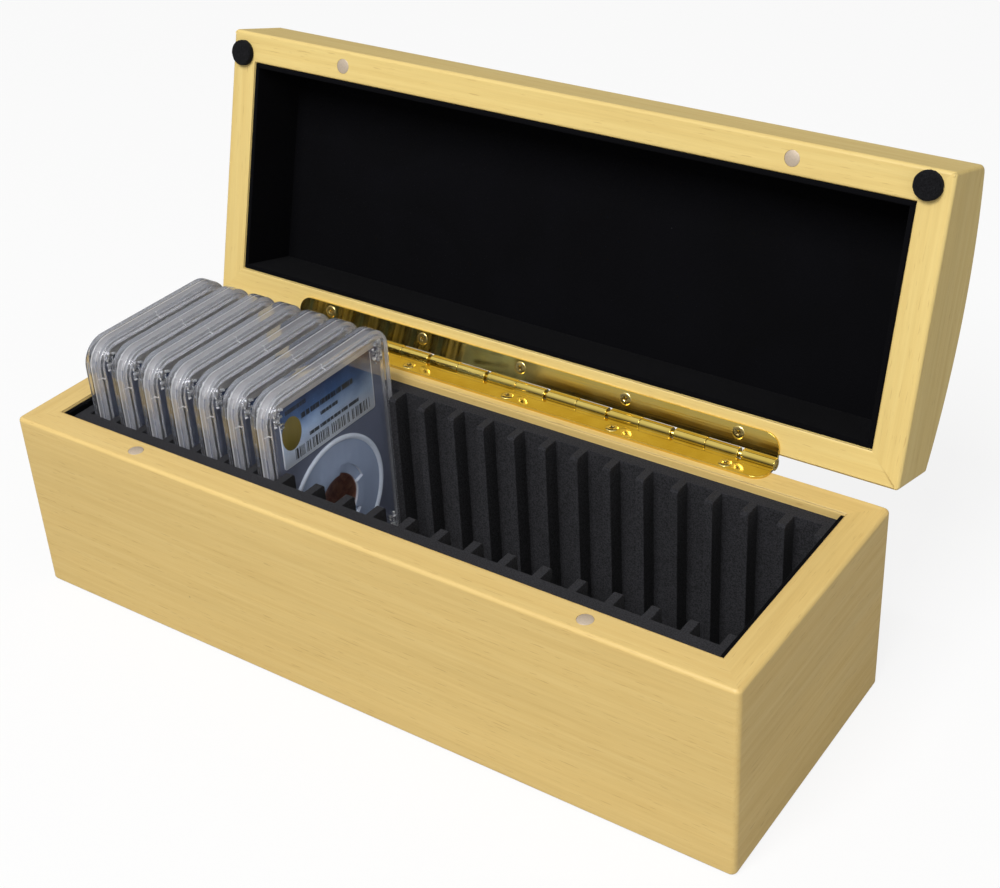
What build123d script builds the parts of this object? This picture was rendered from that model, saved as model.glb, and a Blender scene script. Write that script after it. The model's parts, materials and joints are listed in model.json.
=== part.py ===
from build123d import *

import os
from math import cos, radians

# A display case for coin holders: a mitred wooden box with a domed lid on a long brass hinge.
# Millimetres. The origin is the centre of the underside, +X runs right along the case, +Y runs
# back to the hinge and +Z is up. Everything is drawn with the lid closed, and the lid's pieces
# are turned open about the hinge pin as they are written out.

# Coin holders: two clear shells that meet on a seam, round a core with a coin and a label
holder_width = 62.2
holder_height = 85.7
holder_thickness = 8.0
holder_corner = 9.0
holder_wall = 3.2
holder_window = 0.9
outline_cuts = 3
inner_cuts = 1
ridge_height = 1.2
ridge_inset = 1.4
ridge_width = 2.2
holder_count = 7
core_play = 0.1
core_plate = 1.6
ring_radius = 23.5
ring_height = 0.9
ring_bead = 2.0
dish_depth = 0.3
coin_centre_height = 31.7
coin_radius = 9.5
coin_thickness = 1.5
coin_play = 0.02
prong_count = 3
prong_angle = 108.0
prong_width = 8.6
prong_length = 3.5
prong_height = 1.2
label_width = 46.0
label_thickness = 0.3
label_top_margin = 7.4
label_ring_gap = 1.3
coin_sides = 24

# Slotted foam inserts that stand along the front and back walls
slot_count = 20
slot_play = 0.625
rib_width = 2.85
rib_length = 6.3
rib_chamfer = 0.8
end_block = 3.425
holder_front_play = 0.3
holder_back_play = 1.6
front_web = 7.3
back_web = 4.6
insert_height = 59.1

# Box
side_wall = 10.5
front_wall = 10.6
back_wall = 9.4
floor_thickness = 3.0
floor_rabbet = 5.0
pad_thickness = 1.2
rim_above_insert = 3.1
end_lining = 1.5
end_lining_drop = 0.5
corner_round = 2.0
edge_ease = 0.8
rim_chamfer = 0.5
holder_lift = 0.3

# Lid
lid_rail = 10.4
lid_lining = 1.6
lining_drop = 0.3
lining_play = 0.1
lid_headroom = 1.4
lid_back_drop = 0.6
lid_front_rise = 0.6
lid_dome_rise = 7.35
lid_peak_offset = -2.0
lid_lip = 5.2
lid_front_round = 3.0
lid_open = 105.2

# Hinge
leaf_thickness = 0.9
leaf_gap = 0.6
leaf_depth = 6.9
leaf_corner = 5.0
knuckle_count = 16
knuckle_length = 12.0
wide_gap = 1.3
thin_gap = 0.2
pin_radius = 1.0
pin_play = 0.05
knuckle_wall = 1.0
barrel_clearance = 0.35
barrel_sides = 24
screw_count = 5
screw_pitch = 40.85
screw_inset = 4.0
screw_head_radius = 2.2
screw_neck_radius = 1.1
screw_proud = 0.2
screw_length = 8.0
screw_sides = 16
bore_sides = 12

# Magnets and felt bumpers
magnet_radius = 2.5
magnet_depth = 3.0
magnet_play = 0.03
magnet_spread = 170.0
magnet_inset = 5.4
bumper_radius = 4.5
bumper_gap = 0.3
bumper_left = (4.6, 7.6)
bumper_right = (6.8, 5.0)

# What follows from those sizes
slot_width = holder_thickness + 2 * slot_play
slot_pitch = slot_width + rib_width
slots_length = slot_count * slot_width + (slot_count - 1) * rib_width
insert_length = slots_length + 2 * end_block
inner_length = insert_length + 2 * end_lining
case_length = inner_length + 2 * side_wall
slot_depth = holder_width + holder_front_play + holder_back_play
inner_depth = slot_depth + front_web + back_web
case_depth = inner_depth + front_wall + back_wall

front_y = -case_depth / 2
back_y = case_depth / 2
inner_front_y = front_y + front_wall
inner_back_y = back_y - back_wall
slot_front_y = inner_front_y + front_web
slot_back_y = inner_back_y - back_web
holder_y = slot_front_y + holder_front_play + holder_width / 2

pad_top = floor_thickness + pad_thickness
insert_top = pad_top + insert_height
base_height = insert_top + rim_above_insert
holder_bottom = pad_top + holder_lift
holder_top = holder_bottom + holder_height

lid_gap = 2 * leaf_thickness + leaf_gap
lid_face = base_height + lid_gap
ceiling = holder_top + lid_headroom
panel_under = ceiling + lid_lining
lid_back_top = panel_under - lid_back_drop
lid_front_top = panel_under + lid_front_rise
lid_peak = panel_under + lid_dome_rise
lid_inner_length = case_length - 2 * lid_rail
lid_inner_front_y = front_y + lid_rail
lid_inner_back_y = back_y - lid_rail

bore_radius = pin_radius + pin_play
barrel_radius = bore_radius + knuckle_wall
hinge_length = knuckle_count * knuckle_length
hinge_y = back_y + barrel_radius + barrel_clearance
hinge_z = base_height + lid_gap / 2
leaf_front_y = back_y - leaf_depth
leaf_back_y = hinge_y - barrel_radius - barrel_clearance
screw_top = leaf_thickness + screw_proud
magnet_y = front_y + magnet_inset

holder_half = holder_thickness / 2
shell_face = holder_half - ridge_height
pocket_half = shell_face - holder_window
coin_y = coin_centre_height - holder_height / 2

turn_open = Pos(0, hinge_y, hinge_z) * Rot(-lid_open, 0, 0) * Pos(0, -hinge_y, -hinge_z)


def block(x_range, y_range, z_range):
    """A box between the given limits."""
    size = [high - low for low, high in (x_range, y_range, z_range)]
    corner = [low for low, high in (x_range, y_range, z_range)]
    return Pos(*corner) * Box(*size, align=(Align.MIN, Align.MIN, Align.MIN))


def centred(length):
    """The limits of a stretch of that length about zero."""
    return (-length / 2, length / 2)


def upright(radius, height, x, y, z):
    """A cylinder along Z that stands on the given point."""
    base = (Align.CENTER, Align.CENTER, Align.MIN)
    return Pos(x, y, z) * Cylinder(radius, height, align=base)


def mitre_wedge(side, length, inner_front, inner_back):
    """The prism of one side's panel: its ends run through the outer and the inner corners."""
    outer_x = case_length / 2
    inner_x = length / 2
    outer = {"front": front_y, "back": back_y}
    inner = {"front": inner_front, "back": inner_back}
    corners = {
        "front": [(-1, "front"), (1, "front")],
        "right": [(1, "front"), (1, "back")],
        "back": [(1, "back"), (-1, "back")],
        "left": [(-1, "back"), (-1, "front")],
    }[side]
    outside = [Vector(sign * outer_x, outer[end]) for sign, end in corners]
    inside = [Vector(sign * inner_x, inner[end]) for sign, end in corners]
    beyond = [near + (far - near) * 1.3 for far, near in zip(outside, inside)]
    within = [far + (near - far) * 1.3 for far, near in zip(outside, inside)]
    outline = Polygon(*beyond, *reversed(within), align=None)
    return extrude(outline, 2 * (lid_peak + base_height), both=True)


def rim_funnel(length, inner_front, inner_back, height, direction):
    """What an eased edge removes round an opening whose mouth is at the given height."""
    middle = (inner_front + inner_back) / 2
    depth = inner_back - inner_front
    mouth = Rectangle(length + 2 * rim_chamfer, depth + 2 * rim_chamfer)
    return extrude(Pos(0, middle, height) * mouth, direction * rim_chamfer, taper=45)


def screw_places():
    """X of each screw along a hinge leaf."""
    first = -screw_pitch * (screw_count - 1) / 2
    return [first + index * screw_pitch for index in range(screw_count)]


def magnet_places():
    """X of each magnet along the front of the case."""
    return [-magnet_spread / 2, magnet_spread / 2]


def base_block():
    """The box's four walls in one, with their rabbet, eased edges and magnet seats."""
    walls = block(centred(case_length), (front_y, back_y), (0, base_height))
    walls = fillet(walls.edges().filter_by(Axis.Z), corner_round)
    ends = walls.faces().filter_by(Axis.Z)
    walls = chamfer([edge for face in ends for edge in face.edges()], edge_ease)
    room = (inner_front_y, inner_back_y)
    walls -= block(centred(inner_length), room, (-1, base_height + 1))
    rabbet_y = (inner_front_y - floor_rabbet, inner_back_y + floor_rabbet)
    rabbet_x = centred(inner_length + 2 * floor_rabbet)
    walls -= block(rabbet_x, rabbet_y, (-1, floor_thickness))
    walls -= rim_funnel(inner_length, *room, base_height, -1)
    seat = magnet_depth + magnet_play
    for x in magnet_places():
        walls -= upright(magnet_radius + magnet_play, seat, x, magnet_y, base_height - seat)
    return walls


def lid_blank():
    """The lid as a solid: a flat face below and a dome from front to back."""
    start = (front_y, lid_front_top)
    peak = (lid_peak_offset, lid_peak)
    end = (back_y, lid_back_top)
    outline = ThreePointArc(start, peak, end)
    outline += Polyline(end, (back_y, lid_face), (front_y, lid_face), start)
    profile = make_face(outline)
    front_corner = profile.vertices().sort_by_distance(Vector(*start, 0))[0]
    profile = fillet(front_corner, lid_front_round)
    blank = extrude(Plane.YZ * profile, case_length / 2, both=True)
    ends = [face for face in blank.faces() if abs(face.normal_at().X) > 0.99]
    eased = [edge for face in ends for edge in face.edges()]
    eased += blank.edges().filter_by(Axis.X).group_by(Axis.Z)[0]
    return chamfer(eased, edge_ease)


def lid_blocks():
    """The lid's four rails in one, and the domed panel that is let into them."""
    blank = lid_blank()
    recess_y = (front_y + lid_lip, back_y - lid_lip)
    recess_x = centred(case_length - 2 * lid_lip)
    recess = block(recess_x, recess_y, (panel_under, lid_peak + 1))
    panel = blank & recess
    room = (lid_inner_front_y, lid_inner_back_y)
    rails = blank - recess
    rails -= block(centred(lid_inner_length), room, (lid_face - 1, lid_peak))
    rails -= rim_funnel(lid_inner_length, *room, lid_face, 1)
    for x in magnet_places():
        rails -= upright(magnet_radius + magnet_play, magnet_depth + magnet_play, x, magnet_y, lid_face)
    return rails, panel


def slot_insert(web_edge, slot_edge, inward):
    """A foam comb: a web along the wall, a rib between each two slots and a block at each end."""
    tip = slot_edge + inward * rib_length
    start = -insert_length / 2
    teeth = [(start, start + end_block)]
    for index in range(1, slot_count):
        left = start + end_block + index * slot_pitch - rib_width
        teeth.append((left, left + rib_width))
    teeth.append((-start - end_block, -start))
    heights = (pad_top, insert_top)
    comb = block(centred(insert_length), sorted((web_edge, slot_edge)), heights)
    comb += [block(tooth, sorted((slot_edge - inward, tip)), heights) for tooth in teeth]
    on_tip = comb.edges().filter_by(Axis.X).group_by(Axis.Z)[-1]
    on_tip = [edge for edge in on_tip if abs(edge.center().Y - tip) < 0.01]
    return chamfer(on_tip, rib_chamfer)


def magnets(height):
    """Two magnets that stand on the given height."""
    discs = [upright(magnet_radius, magnet_depth, x, magnet_y, height) for x in magnet_places()]
    return Compound(children=discs)


def screw_taper(height):
    """The tapered underside of a screw's head, from the wood to the given height above it."""
    spread = (screw_head_radius - screw_neck_radius) * height / screw_top
    neck = RegularPolygon(screw_neck_radius, screw_sides)
    return loft([neck, Pos(0, 0, height) * RegularPolygon(screw_neck_radius + spread, screw_sides)])


def screws(seat, facing):
    """Countersunk screws driven through a leaf into the wood at the given height."""
    shank = extrude(RegularPolygon(screw_neck_radius, screw_sides), -screw_length)
    screw = screw_taper(screw_top) + shank
    if facing < 0:
        screw = Rot(180, 0, 0) * screw
    placed = [Pos(x, back_y - screw_inset, seat) * screw for x in screw_places()]
    return Compound(children=placed)


def along_hinge(outline, left, right):
    """An outline drawn out along the hinge's axis between two places."""
    return extrude(Plane((left, hinge_y, hinge_z), z_dir=(1, 0, 0)) * outline, right - left)


def knuckle_gap(boundary):
    """The gap at a boundary between knuckles: they stand in pairs, with wide gaps between pairs."""
    return wide_gap if boundary % 2 else thin_gap


def knuckle_span(index):
    """The X limits of one knuckle."""
    left = index * knuckle_length - hinge_length / 2
    right = left + knuckle_length
    if index > 0:
        left += knuckle_gap(index) / 2
    if index < knuckle_count - 1:
        right -= knuckle_gap(index + 1) / 2
    return left, right


def hinge_leaf(first_knuckle, seat, facing):
    """A leaf on the wood at the given height, with every second knuckle from the first."""
    far = seat + facing * leaf_thickness
    heights = sorted((seat, far))
    plate = block(centred(hinge_length), (leaf_front_y, leaf_back_y), heights)
    free = plate.edges().filter_by(Axis.Z).group_by(Axis.Y)[0]
    leaf = fillet(free, leaf_corner)
    for index in range(first_knuckle, knuckle_count, 2):
        left, right = knuckle_span(index)
        leaf += block((left, right), (leaf_back_y - 1, hinge_y), heights)
        leaf += along_hinge(RegularPolygon(barrel_radius, barrel_sides), left, right)
    bore = RegularPolygon(bore_radius, bore_sides, major_radius=False)
    leaf -= along_hinge(bore, -hinge_length, hinge_length)
    sink = screw_taper(leaf_thickness)
    if facing < 0:
        sink = Rot(180, 0, 0) * sink
    for x in screw_places():
        leaf -= Pos(x, back_y - screw_inset, seat) * sink
    return leaf


def lid_linings():
    """Velvet boards: one across the ceiling, then the long and the end boards under it."""
    long_x = centred(lid_inner_length - 2 * lining_play)
    front_edge = lid_inner_front_y + lining_play
    back_edge = lid_inner_back_y - lining_play
    top_board = block(long_x, (front_edge, back_edge), (ceiling, panel_under))
    heights = (lid_face + lining_drop, ceiling)
    long_boards = [
        block(long_x, (front_edge, front_edge + lid_lining), heights),
        block(long_x, (back_edge - lid_lining, back_edge), heights),
    ]
    between = (front_edge + lid_lining, back_edge - lid_lining)
    end = long_x[1]
    end_boards = [
        block((-end, -end + lid_lining), between, heights),
        block((end - lid_lining, end), between, heights),
    ]
    return top_board, Compound(children=long_boards), Compound(children=end_boards)


def base_end_linings():
    """Velvet boards on the box's two end walls, up to just under the rim."""
    room = (inner_front_y, inner_back_y)
    heights = (pad_top, base_height - end_lining_drop - rim_chamfer)
    end = inner_length / 2
    left = block((-end, -end + end_lining), room, heights)
    right = block((end - end_lining, end), room, heights)
    return Compound(children=[left, right])


def bumpers():
    """Felt discs on the lid's front corners."""
    thickness = lid_gap - bumper_gap
    height = lid_face - thickness
    edge = case_length / 2
    left = upright(bumper_radius, thickness, -edge + bumper_left[0], front_y + bumper_left[1], height)
    right = upright(bumper_radius, thickness, edge - bumper_right[0], front_y + bumper_right[1], height)
    return Compound(children=[left, right])


def holder_outline(inset, cuts):
    """The holder's outline drawn in by an inset, with each round corner made of straight cuts."""
    turn = 90 / (cuts + 1)
    reach = (holder_corner - inset) / cos(radians(turn / 2))
    points = []
    for quarter, (side, end) in enumerate([(1, 1), (-1, 1), (-1, -1), (1, -1)]):
        y = side * (holder_width / 2 - holder_corner)
        z = end * (holder_height / 2 - holder_corner)
        for index in range(cuts + 1):
            spoke = Vector(reach, 0).rotate(Axis.Z, quarter * 90 + (index + 0.5) * turn)
            points.append(Vector(y, z) + spoke)
    return Polygon(*points, align=None)


def holder_shell():
    """One clear half: a plate with a hollow for the core and a stacking ridge round its face."""
    shell = extrude(Plane.YZ * holder_outline(0, outline_cuts), shell_face)
    ridge = holder_outline(ridge_inset, inner_cuts)
    ridge -= holder_outline(ridge_inset + ridge_width, inner_cuts)
    shell += extrude(Plane.YZ.offset(shell_face) * ridge, ridge_height)
    return shell - extrude(Plane.YZ * holder_outline(holder_wall, inner_cuts), pocket_half)


def round_coin(radius):
    """A circle about the coin's centre on the core's face, drawn with flat sides."""
    return Pos(0, coin_y) * RegularPolygon(radius, coin_sides)


def holder_core():
    """The insert between the shells: a raised, dished ring whose broad prongs hold the coin."""
    face = Plane.YZ.offset(core_plate / 2)
    top = face.offset(ring_height)
    core = extrude(Plane.YZ * holder_outline(holder_wall + core_play, inner_cuts), core_plate / 2, both=True)
    core += extrude(face * round_coin(ring_radius), ring_height)
    core -= extrude(top * round_coin(ring_radius - ring_bead), -dish_depth)
    prong = Pos(ring_radius / 2, 0) * Rectangle(ring_radius, prong_width)
    gaps = round_coin(coin_radius + prong_length)
    for turn in range(prong_count):
        gaps -= Pos(0, coin_y) * Rot(0, 0, prong_angle + turn * 360 / prong_count) * prong
    core -= extrude(top * gaps, -prong_height)
    return core - extrude(Plane.YZ * round_coin(coin_radius + coin_play), holder_thickness, both=True)


def holder_coin():
    """A plain coin in the core's prongs."""
    return extrude(Plane.YZ * round_coin(coin_radius), coin_thickness / 2, both=True)


def holder_label():
    """The paper label, which lies on the core's front above the ring."""
    top = holder_height / 2 - label_top_margin
    bottom = coin_y + ring_radius + label_ring_gap
    face = core_plate / 2
    return block((face, face + label_thickness), centred(label_width), (bottom, top))


def holder_pieces():
    """The pieces of one holder about its own centre."""
    shell = holder_shell()
    return {
        "front_shell": shell,
        "back_shell": mirror(shell, Plane.YZ),
        "core": holder_core(),
        "coin": holder_coin(),
        "label": holder_label(),
    }


def base_pieces():
    """Everything that is fixed to the box."""
    walls = base_block()
    rabbet_y = (inner_front_y - floor_rabbet, inner_back_y + floor_rabbet)
    rabbet_x = centred(inner_length + 2 * floor_rabbet)
    room = (inner_front_y, inner_back_y)
    pieces = {
        f"base_{side}_panel": walls & mitre_wedge(side, inner_length, *room)
        for side in ("front", "back", "left", "right")
    }
    pieces["base_floor_panel"] = block(rabbet_x, rabbet_y, (0, floor_thickness))
    pieces["insert_floor_pad"] = block(centred(inner_length), room, (floor_thickness, pad_top))
    pieces["slot_insert_front"] = slot_insert(inner_front_y, slot_front_y, 1)
    pieces["slot_insert_back"] = slot_insert(inner_back_y, slot_back_y, -1)
    pieces["base_end_linings"] = base_end_linings()
    pieces["base_magnets"] = magnets(base_height - magnet_depth)
    pieces["hinge_base_leaf"] = hinge_leaf(0, base_height, 1)
    pieces["hinge_base_screws"] = screws(base_height, 1)
    pieces["hinge_pin"] = along_hinge(Circle(pin_radius), *centred(hinge_length))
    return pieces


def lid_pieces():
    """Everything that turns with the lid, drawn closed."""
    rails, panel = lid_blocks()
    room = (lid_inner_front_y, lid_inner_back_y)
    pieces = {
        f"lid_{side}_rail": rails & mitre_wedge(side, lid_inner_length, *room)
        for side in ("front", "back", "left", "right")
    }
    pieces["lid_top_panel"] = panel
    top_board, long_boards, end_boards = lid_linings()
    pieces["lid_lining_top"] = top_board
    pieces["lid_lining_sides"] = long_boards
    pieces["lid_lining_ends"] = end_boards
    pieces["lid_magnets"] = magnets(lid_face)
    pieces["lid_bumpers"] = bumpers()
    pieces["hinge_lid_leaf"] = hinge_leaf(1, lid_face, -1)
    pieces["hinge_lid_screws"] = screws(lid_face, -1)
    return pieces


def write(name, piece):
    """Write one piece to its own file."""
    export_step(piece, f"parts/{name}.step")


os.makedirs("parts", exist_ok=True)
for name, piece in base_pieces().items():
    write(name, piece)
for name, piece in lid_pieces().items():
    write(name, turn_open * piece)
first_slot_x = -insert_length / 2 + end_block + slot_width / 2
for number in range(holder_count):
    place = Pos(first_slot_x + number * slot_pitch, holder_y, holder_bottom + holder_height / 2)
    for name, piece in holder_pieces().items():
        write(f"holder_{number + 1}_{name}", place * piece)
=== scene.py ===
import json
import math
import random

import bmesh
import bpy
from mathutils import Matrix, Vector, geometry
from mathutils.bvhtree import BVHTree

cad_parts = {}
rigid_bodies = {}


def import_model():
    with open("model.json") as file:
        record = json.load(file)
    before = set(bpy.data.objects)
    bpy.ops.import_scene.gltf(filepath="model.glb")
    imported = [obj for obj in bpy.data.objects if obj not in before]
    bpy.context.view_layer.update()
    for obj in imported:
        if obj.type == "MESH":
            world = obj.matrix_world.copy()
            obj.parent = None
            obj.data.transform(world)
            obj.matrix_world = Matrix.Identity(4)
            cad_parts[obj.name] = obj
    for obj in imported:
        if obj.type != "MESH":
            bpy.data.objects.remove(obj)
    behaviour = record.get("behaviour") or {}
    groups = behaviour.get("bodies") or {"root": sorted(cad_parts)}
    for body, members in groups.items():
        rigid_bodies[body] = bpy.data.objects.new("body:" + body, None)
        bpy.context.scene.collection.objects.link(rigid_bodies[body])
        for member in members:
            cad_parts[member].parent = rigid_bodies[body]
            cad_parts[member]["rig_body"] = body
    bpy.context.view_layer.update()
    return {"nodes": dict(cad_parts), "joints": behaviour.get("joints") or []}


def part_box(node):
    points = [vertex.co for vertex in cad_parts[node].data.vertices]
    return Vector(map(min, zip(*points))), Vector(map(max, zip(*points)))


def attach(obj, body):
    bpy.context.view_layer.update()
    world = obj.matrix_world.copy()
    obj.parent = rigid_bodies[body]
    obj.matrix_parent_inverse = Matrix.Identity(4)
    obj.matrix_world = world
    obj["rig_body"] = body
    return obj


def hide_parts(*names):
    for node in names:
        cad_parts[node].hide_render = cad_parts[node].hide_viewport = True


# The look of the coin display case: eased wood, dark foam and velvet, a polished hinge and seven
# clear holders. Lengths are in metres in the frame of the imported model, and MM turns millimetres
# into metres. +X runs right along the case, +Y runs back to the hinge and +Z is up.

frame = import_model()

MM = 0.001
HINGE = next(joint for joint in frame["joints"] if joint["name"] == "lid_hinge")
LID_TURN = -math.radians(HINGE["range_deg"][0])
SCREWS_PER_LEAF = 5

# The holders are alike, so their pieces are drawn once, about the centre of holder 1.
HOLDER_COUNT = 7
HOLDER_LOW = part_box("holder_1_back_shell")[0]
HOLDER_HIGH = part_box("holder_1_front_shell")[1]
HOLDER_CENTRE = (HOLDER_LOW + HOLDER_HIGH) / 2
HOLDER_SIZE = HOLDER_HIGH - HOLDER_LOW
HOLDER_CORNER = 9.0 * MM
HOLDER_WALL = 3.2 * MM
BODY_HALF = 2.8 * MM
RIDGE_INSET = 1.4 * MM
RIDGE_WIDTH = 2.2 * MM
CORE_HALF = 0.8 * MM
COIN_RADIUS = 9.5 * MM
COIN_ABOVE_FOOT = 31.7 * MM
COIN_Z = COIN_ABOVE_FOOT - HOLDER_SIZE.z / 2

# The order of the materials on a shell, on a core and on a screw.
RIM, WINDOW, WELD, RIDGE = range(4)
PLATE, RING, PALE_GLINT = range(3)
HEAD, RECESS = range(2)


# ---------------------------------------------------------------- node trees

def linear(red, green, blue):
    """A colour from sRGB values of 0 to 255."""
    channels = [value / 255 for value in (red, green, blue)]
    return (*[((value + 0.055) / 1.055) ** 2.4 if value > 0.04 else value / 12.92 for value in channels], 1)


class Surface:
    """A material with a Principled shader, and short ways to add nodes to it."""

    def __init__(self, name, **sockets):
        self.material = bpy.data.materials.new(name)
        self.material.use_nodes = True
        self.tree = self.material.node_tree
        self.shader = self.tree.nodes["Principled BSDF"]
        for socket, value in sockets.items():
            self.put(socket.replace("_", " "), value)

    def feed(self, node, socket, value):
        """Link an output to a node's input, or set the input to a constant."""
        by_name = {each.name.lower(): each for each in node.inputs}
        target = by_name[socket.lower()] if isinstance(socket, str) else node.inputs[socket]
        if isinstance(value, bpy.types.NodeSocket):
            self.tree.links.new(value, target)
        else:
            target.default_value = value

    def put(self, socket, value):
        """Link or set one of the shader's own inputs."""
        self.feed(self.shader, socket, value)

    def add(self, kind, inputs, output=0, **settings):
        """Add a node and return one of its outputs."""
        node = self.tree.nodes.new("ShaderNode" + kind)
        for name, value in settings.items():
            setattr(node, name, value)
        for socket, value in inputs.items():
            self.feed(node, socket, value)
        return node.outputs[output]

    def place(self, scale=(1, 1, 1), turn=0.0):
        """Object coordinates, turned about X, then stretched."""
        coordinates = self.add("TexCoord", {}, output="Object")
        if turn:
            coordinates = self.add("Mapping", {"Vector": coordinates, "Rotation": (turn, 0, 0)})
        return self.add("Mapping", {"Vector": coordinates, "Scale": scale})

    def split(self, vector):
        """The X, Y and Z of a vector."""
        node = self.tree.nodes.new("ShaderNodeSeparateXYZ")
        self.feed(node, "Vector", vector)
        return [node.outputs[axis] for axis in "XYZ"]

    def noise(self, vector, scale=1.0, detail=2.0, roughness=0.5, distortion=0.0):
        """Smooth noise from 0 to 1."""
        inputs = {"Vector": vector, "Scale": scale, "Detail": detail, "Roughness": roughness}
        return self.add("TexNoise", {**inputs, "Distortion": distortion})

    def ramp(self, value, *stops):
        """A colour for each value: stops are (value, colour), and a plain number is a grey."""
        node = self.tree.nodes.new("ShaderNodeValToRGB")
        self.feed(node, "Fac", value)
        elements = node.color_ramp.elements
        while len(elements) < len(stops):
            elements.new(0.5)
        for element, (position, colour) in zip(elements, stops):
            element.position = position
            element.color = colour if isinstance(colour, tuple) else (colour, colour, colour, 1)
        return node.outputs["Color"]

    def mix(self, factor, first, second, blend="MIX"):
        """A blend of two colours."""
        inputs = {0: factor, 6: first, 7: second}
        return self.add("Mix", inputs, output=2, data_type="RGBA", blend_type=blend)

    def maths(self, operation, *values):
        """A sum, difference or other operation on numbers."""
        return self.add("Math", dict(enumerate(values)), operation=operation)

    def product(self, first, *others):
        """The product of numbers."""
        for other in others:
            first = self.maths("MULTIPLY", first, other)
        return first

    def bump(self, height, distance, strength=1.0):
        """Raise the shader's surface by a height map."""
        inputs = {"Height": height, "Distance": distance, "Strength": strength}
        if self.shader.inputs["Normal"].is_linked:
            inputs["Normal"] = self.shader.inputs["Normal"].links[0].from_socket
        self.put("Normal", self.add("Bump", inputs))


# ---------------------------------------------------------------- materials

# The lid's tones are lighter than the case's: partly paler wood, partly painted light for the lid's face,
# which is lit more strongly.
CASE_TONES = ((222, 188, 116), (228, 196, 124), (233, 203, 132))
LID_TONES_PAINTED_LIGHTER = ((227, 197, 122), (233, 205, 130), (238, 212, 138))
PLASTIC_IOR = 1.49


def wood(name, tones, lengthwise, turn=0.0):
    """Pale lacquered wood. Its grain runs along X, or along Y where it isn't lengthwise."""
    surface = Surface(name, specular_ior_level=0.35, coat_weight=0.08, coat_roughness=0.25)

    def grain(along, across):
        scale = (along, across, across) if lengthwise else (across, along, across)
        return surface.place(scale, turn)

    sweep = surface.noise(grain(5, 60), detail=2)
    streaks = surface.noise(grain(16, 520), detail=5, roughness=0.62, distortion=0.25)
    fibres = surface.noise(grain(60, 2600), detail=3, roughness=0.7)
    flecks = surface.noise(grain(150, 2300), detail=2, roughness=0.4)
    specks = surface.add("TexVoronoi", {"Vector": surface.place((46, 46, 46)), "Scale": 1.0})

    dark, middle, light = (linear(*tone) for tone in tones)
    fleck_brown = linear(176, 134, 72)
    speck_brown = linear(120, 78, 38)
    colour = surface.ramp(streaks, (0.28, dark), (0.5, middle), (0.72, light))
    colour = surface.mix(1.0, colour, surface.ramp(sweep, (0.3, 0.93), (0.7, 1.0)), "MULTIPLY")
    colour = surface.mix(0.5, colour, surface.ramp(fibres, (0.3, 0.9), (0.7, 1.0)), "MULTIPLY")
    colour = surface.mix(surface.ramp(flecks, (0.66, 0.0), (0.74, 0.4)), colour, fleck_brown)
    colour = surface.mix(surface.ramp(specks, (0.0, 0.75), (0.02, 0.0)), colour, speck_brown)
    surface.put("Base Color", colour)
    surface.put("Roughness", surface.ramp(streaks, (0.3, 0.52), (0.7, 0.42)))
    surface.bump(fibres, 0.02 * MM, 0.5)
    surface.bump(flecks, 0.03 * MM, 0.35)
    return surface.material


def foam():
    """Charcoal foam with fine cells."""
    surface = Surface("foam", roughness=1.0, specular_ior_level=0.1,
                      sheen_weight=0.03, sheen_roughness=0.6)
    cells = surface.noise(surface.place(), scale=2400, detail=3)
    patches = surface.noise(surface.place(), scale=60, detail=3)
    colour = surface.ramp(cells, (0.35, linear(31, 31, 33)), (0.65, linear(56, 56, 60)))
    colour = surface.mix(0.5, colour, surface.ramp(patches, (0.3, 0.7), (0.7, 1.0)), "MULTIPLY")
    surface.put("Base Color", colour)
    surface.bump(cells, 0.1 * MM, 0.6)
    return surface.material


def velvet():
    """Black velvet with an uneven pile and a few specks of lint."""
    surface = Surface("velvet", roughness=1.0, specular_ior_level=0.04,
                      sheen_weight=0.015, sheen_roughness=0.35)
    pile = surface.noise(surface.place(), scale=2600, detail=2)
    brushed = surface.noise(surface.place(), scale=22, detail=3, distortion=1.2)
    lint = surface.add("TexVoronoi", {"Vector": surface.place((75, 75, 75)), "Scale": 1.0})
    colour = surface.ramp(brushed, (0.3, linear(10, 10, 12)), (0.7, linear(12, 12, 15)))
    colour = surface.mix(surface.ramp(lint, (0.0, 0.4), (0.012, 0.0)), colour, linear(120, 120, 124))
    surface.put("Base Color", colour)
    surface.bump(pile, 0.25 * MM, 0.7)
    return surface.material


def felt():
    """Black felt of matted fibres."""
    surface = Surface("felt", roughness=1.0, specular_ior_level=0.05,
                      sheen_weight=0.03, sheen_roughness=0.6)
    fibres = surface.noise(surface.place(), scale=2600, detail=4, distortion=1.5)
    surface.put("Base Color", surface.ramp(fibres, (0.35, linear(8, 8, 10)), (0.7, linear(34, 34, 37))))
    surface.bump(fibres, 0.3 * MM, 0.8)
    return surface.material


def brass(name, turn=0.0):
    """Polished brass with draw lines along the hinge and light smears."""
    surface = Surface(name, metallic=1.0)
    lines = surface.noise(surface.place((20, 2200, 2200), turn), detail=3)
    smears = surface.noise(surface.place(), scale=90, detail=3)
    gold = linear(218, 190, 92)
    pale_gold = linear(230, 206, 118)
    surface.put("Base Color", surface.ramp(smears, (0.3, gold), (0.7, pale_gold)))
    surface.put("Roughness", surface.ramp(smears, (0.35, 0.05), (0.7, 0.11)))
    surface.bump(lines, 0.008 * MM, 0.5)
    return surface.material


def dull_brass():
    """Darker, rougher brass for the recess of a screw."""
    surface = Surface("dull_brass", metallic=1.0, roughness=0.5)
    # The recess is darker than the head, mottled by a noise.
    recess_mottle = surface.noise(surface.place(), scale=3000, detail=2)
    surface.put("Base Color", surface.ramp(recess_mottle, (0.3, linear(60, 46, 20)), (0.7, linear(120, 92, 40))))
    return surface.material


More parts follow.
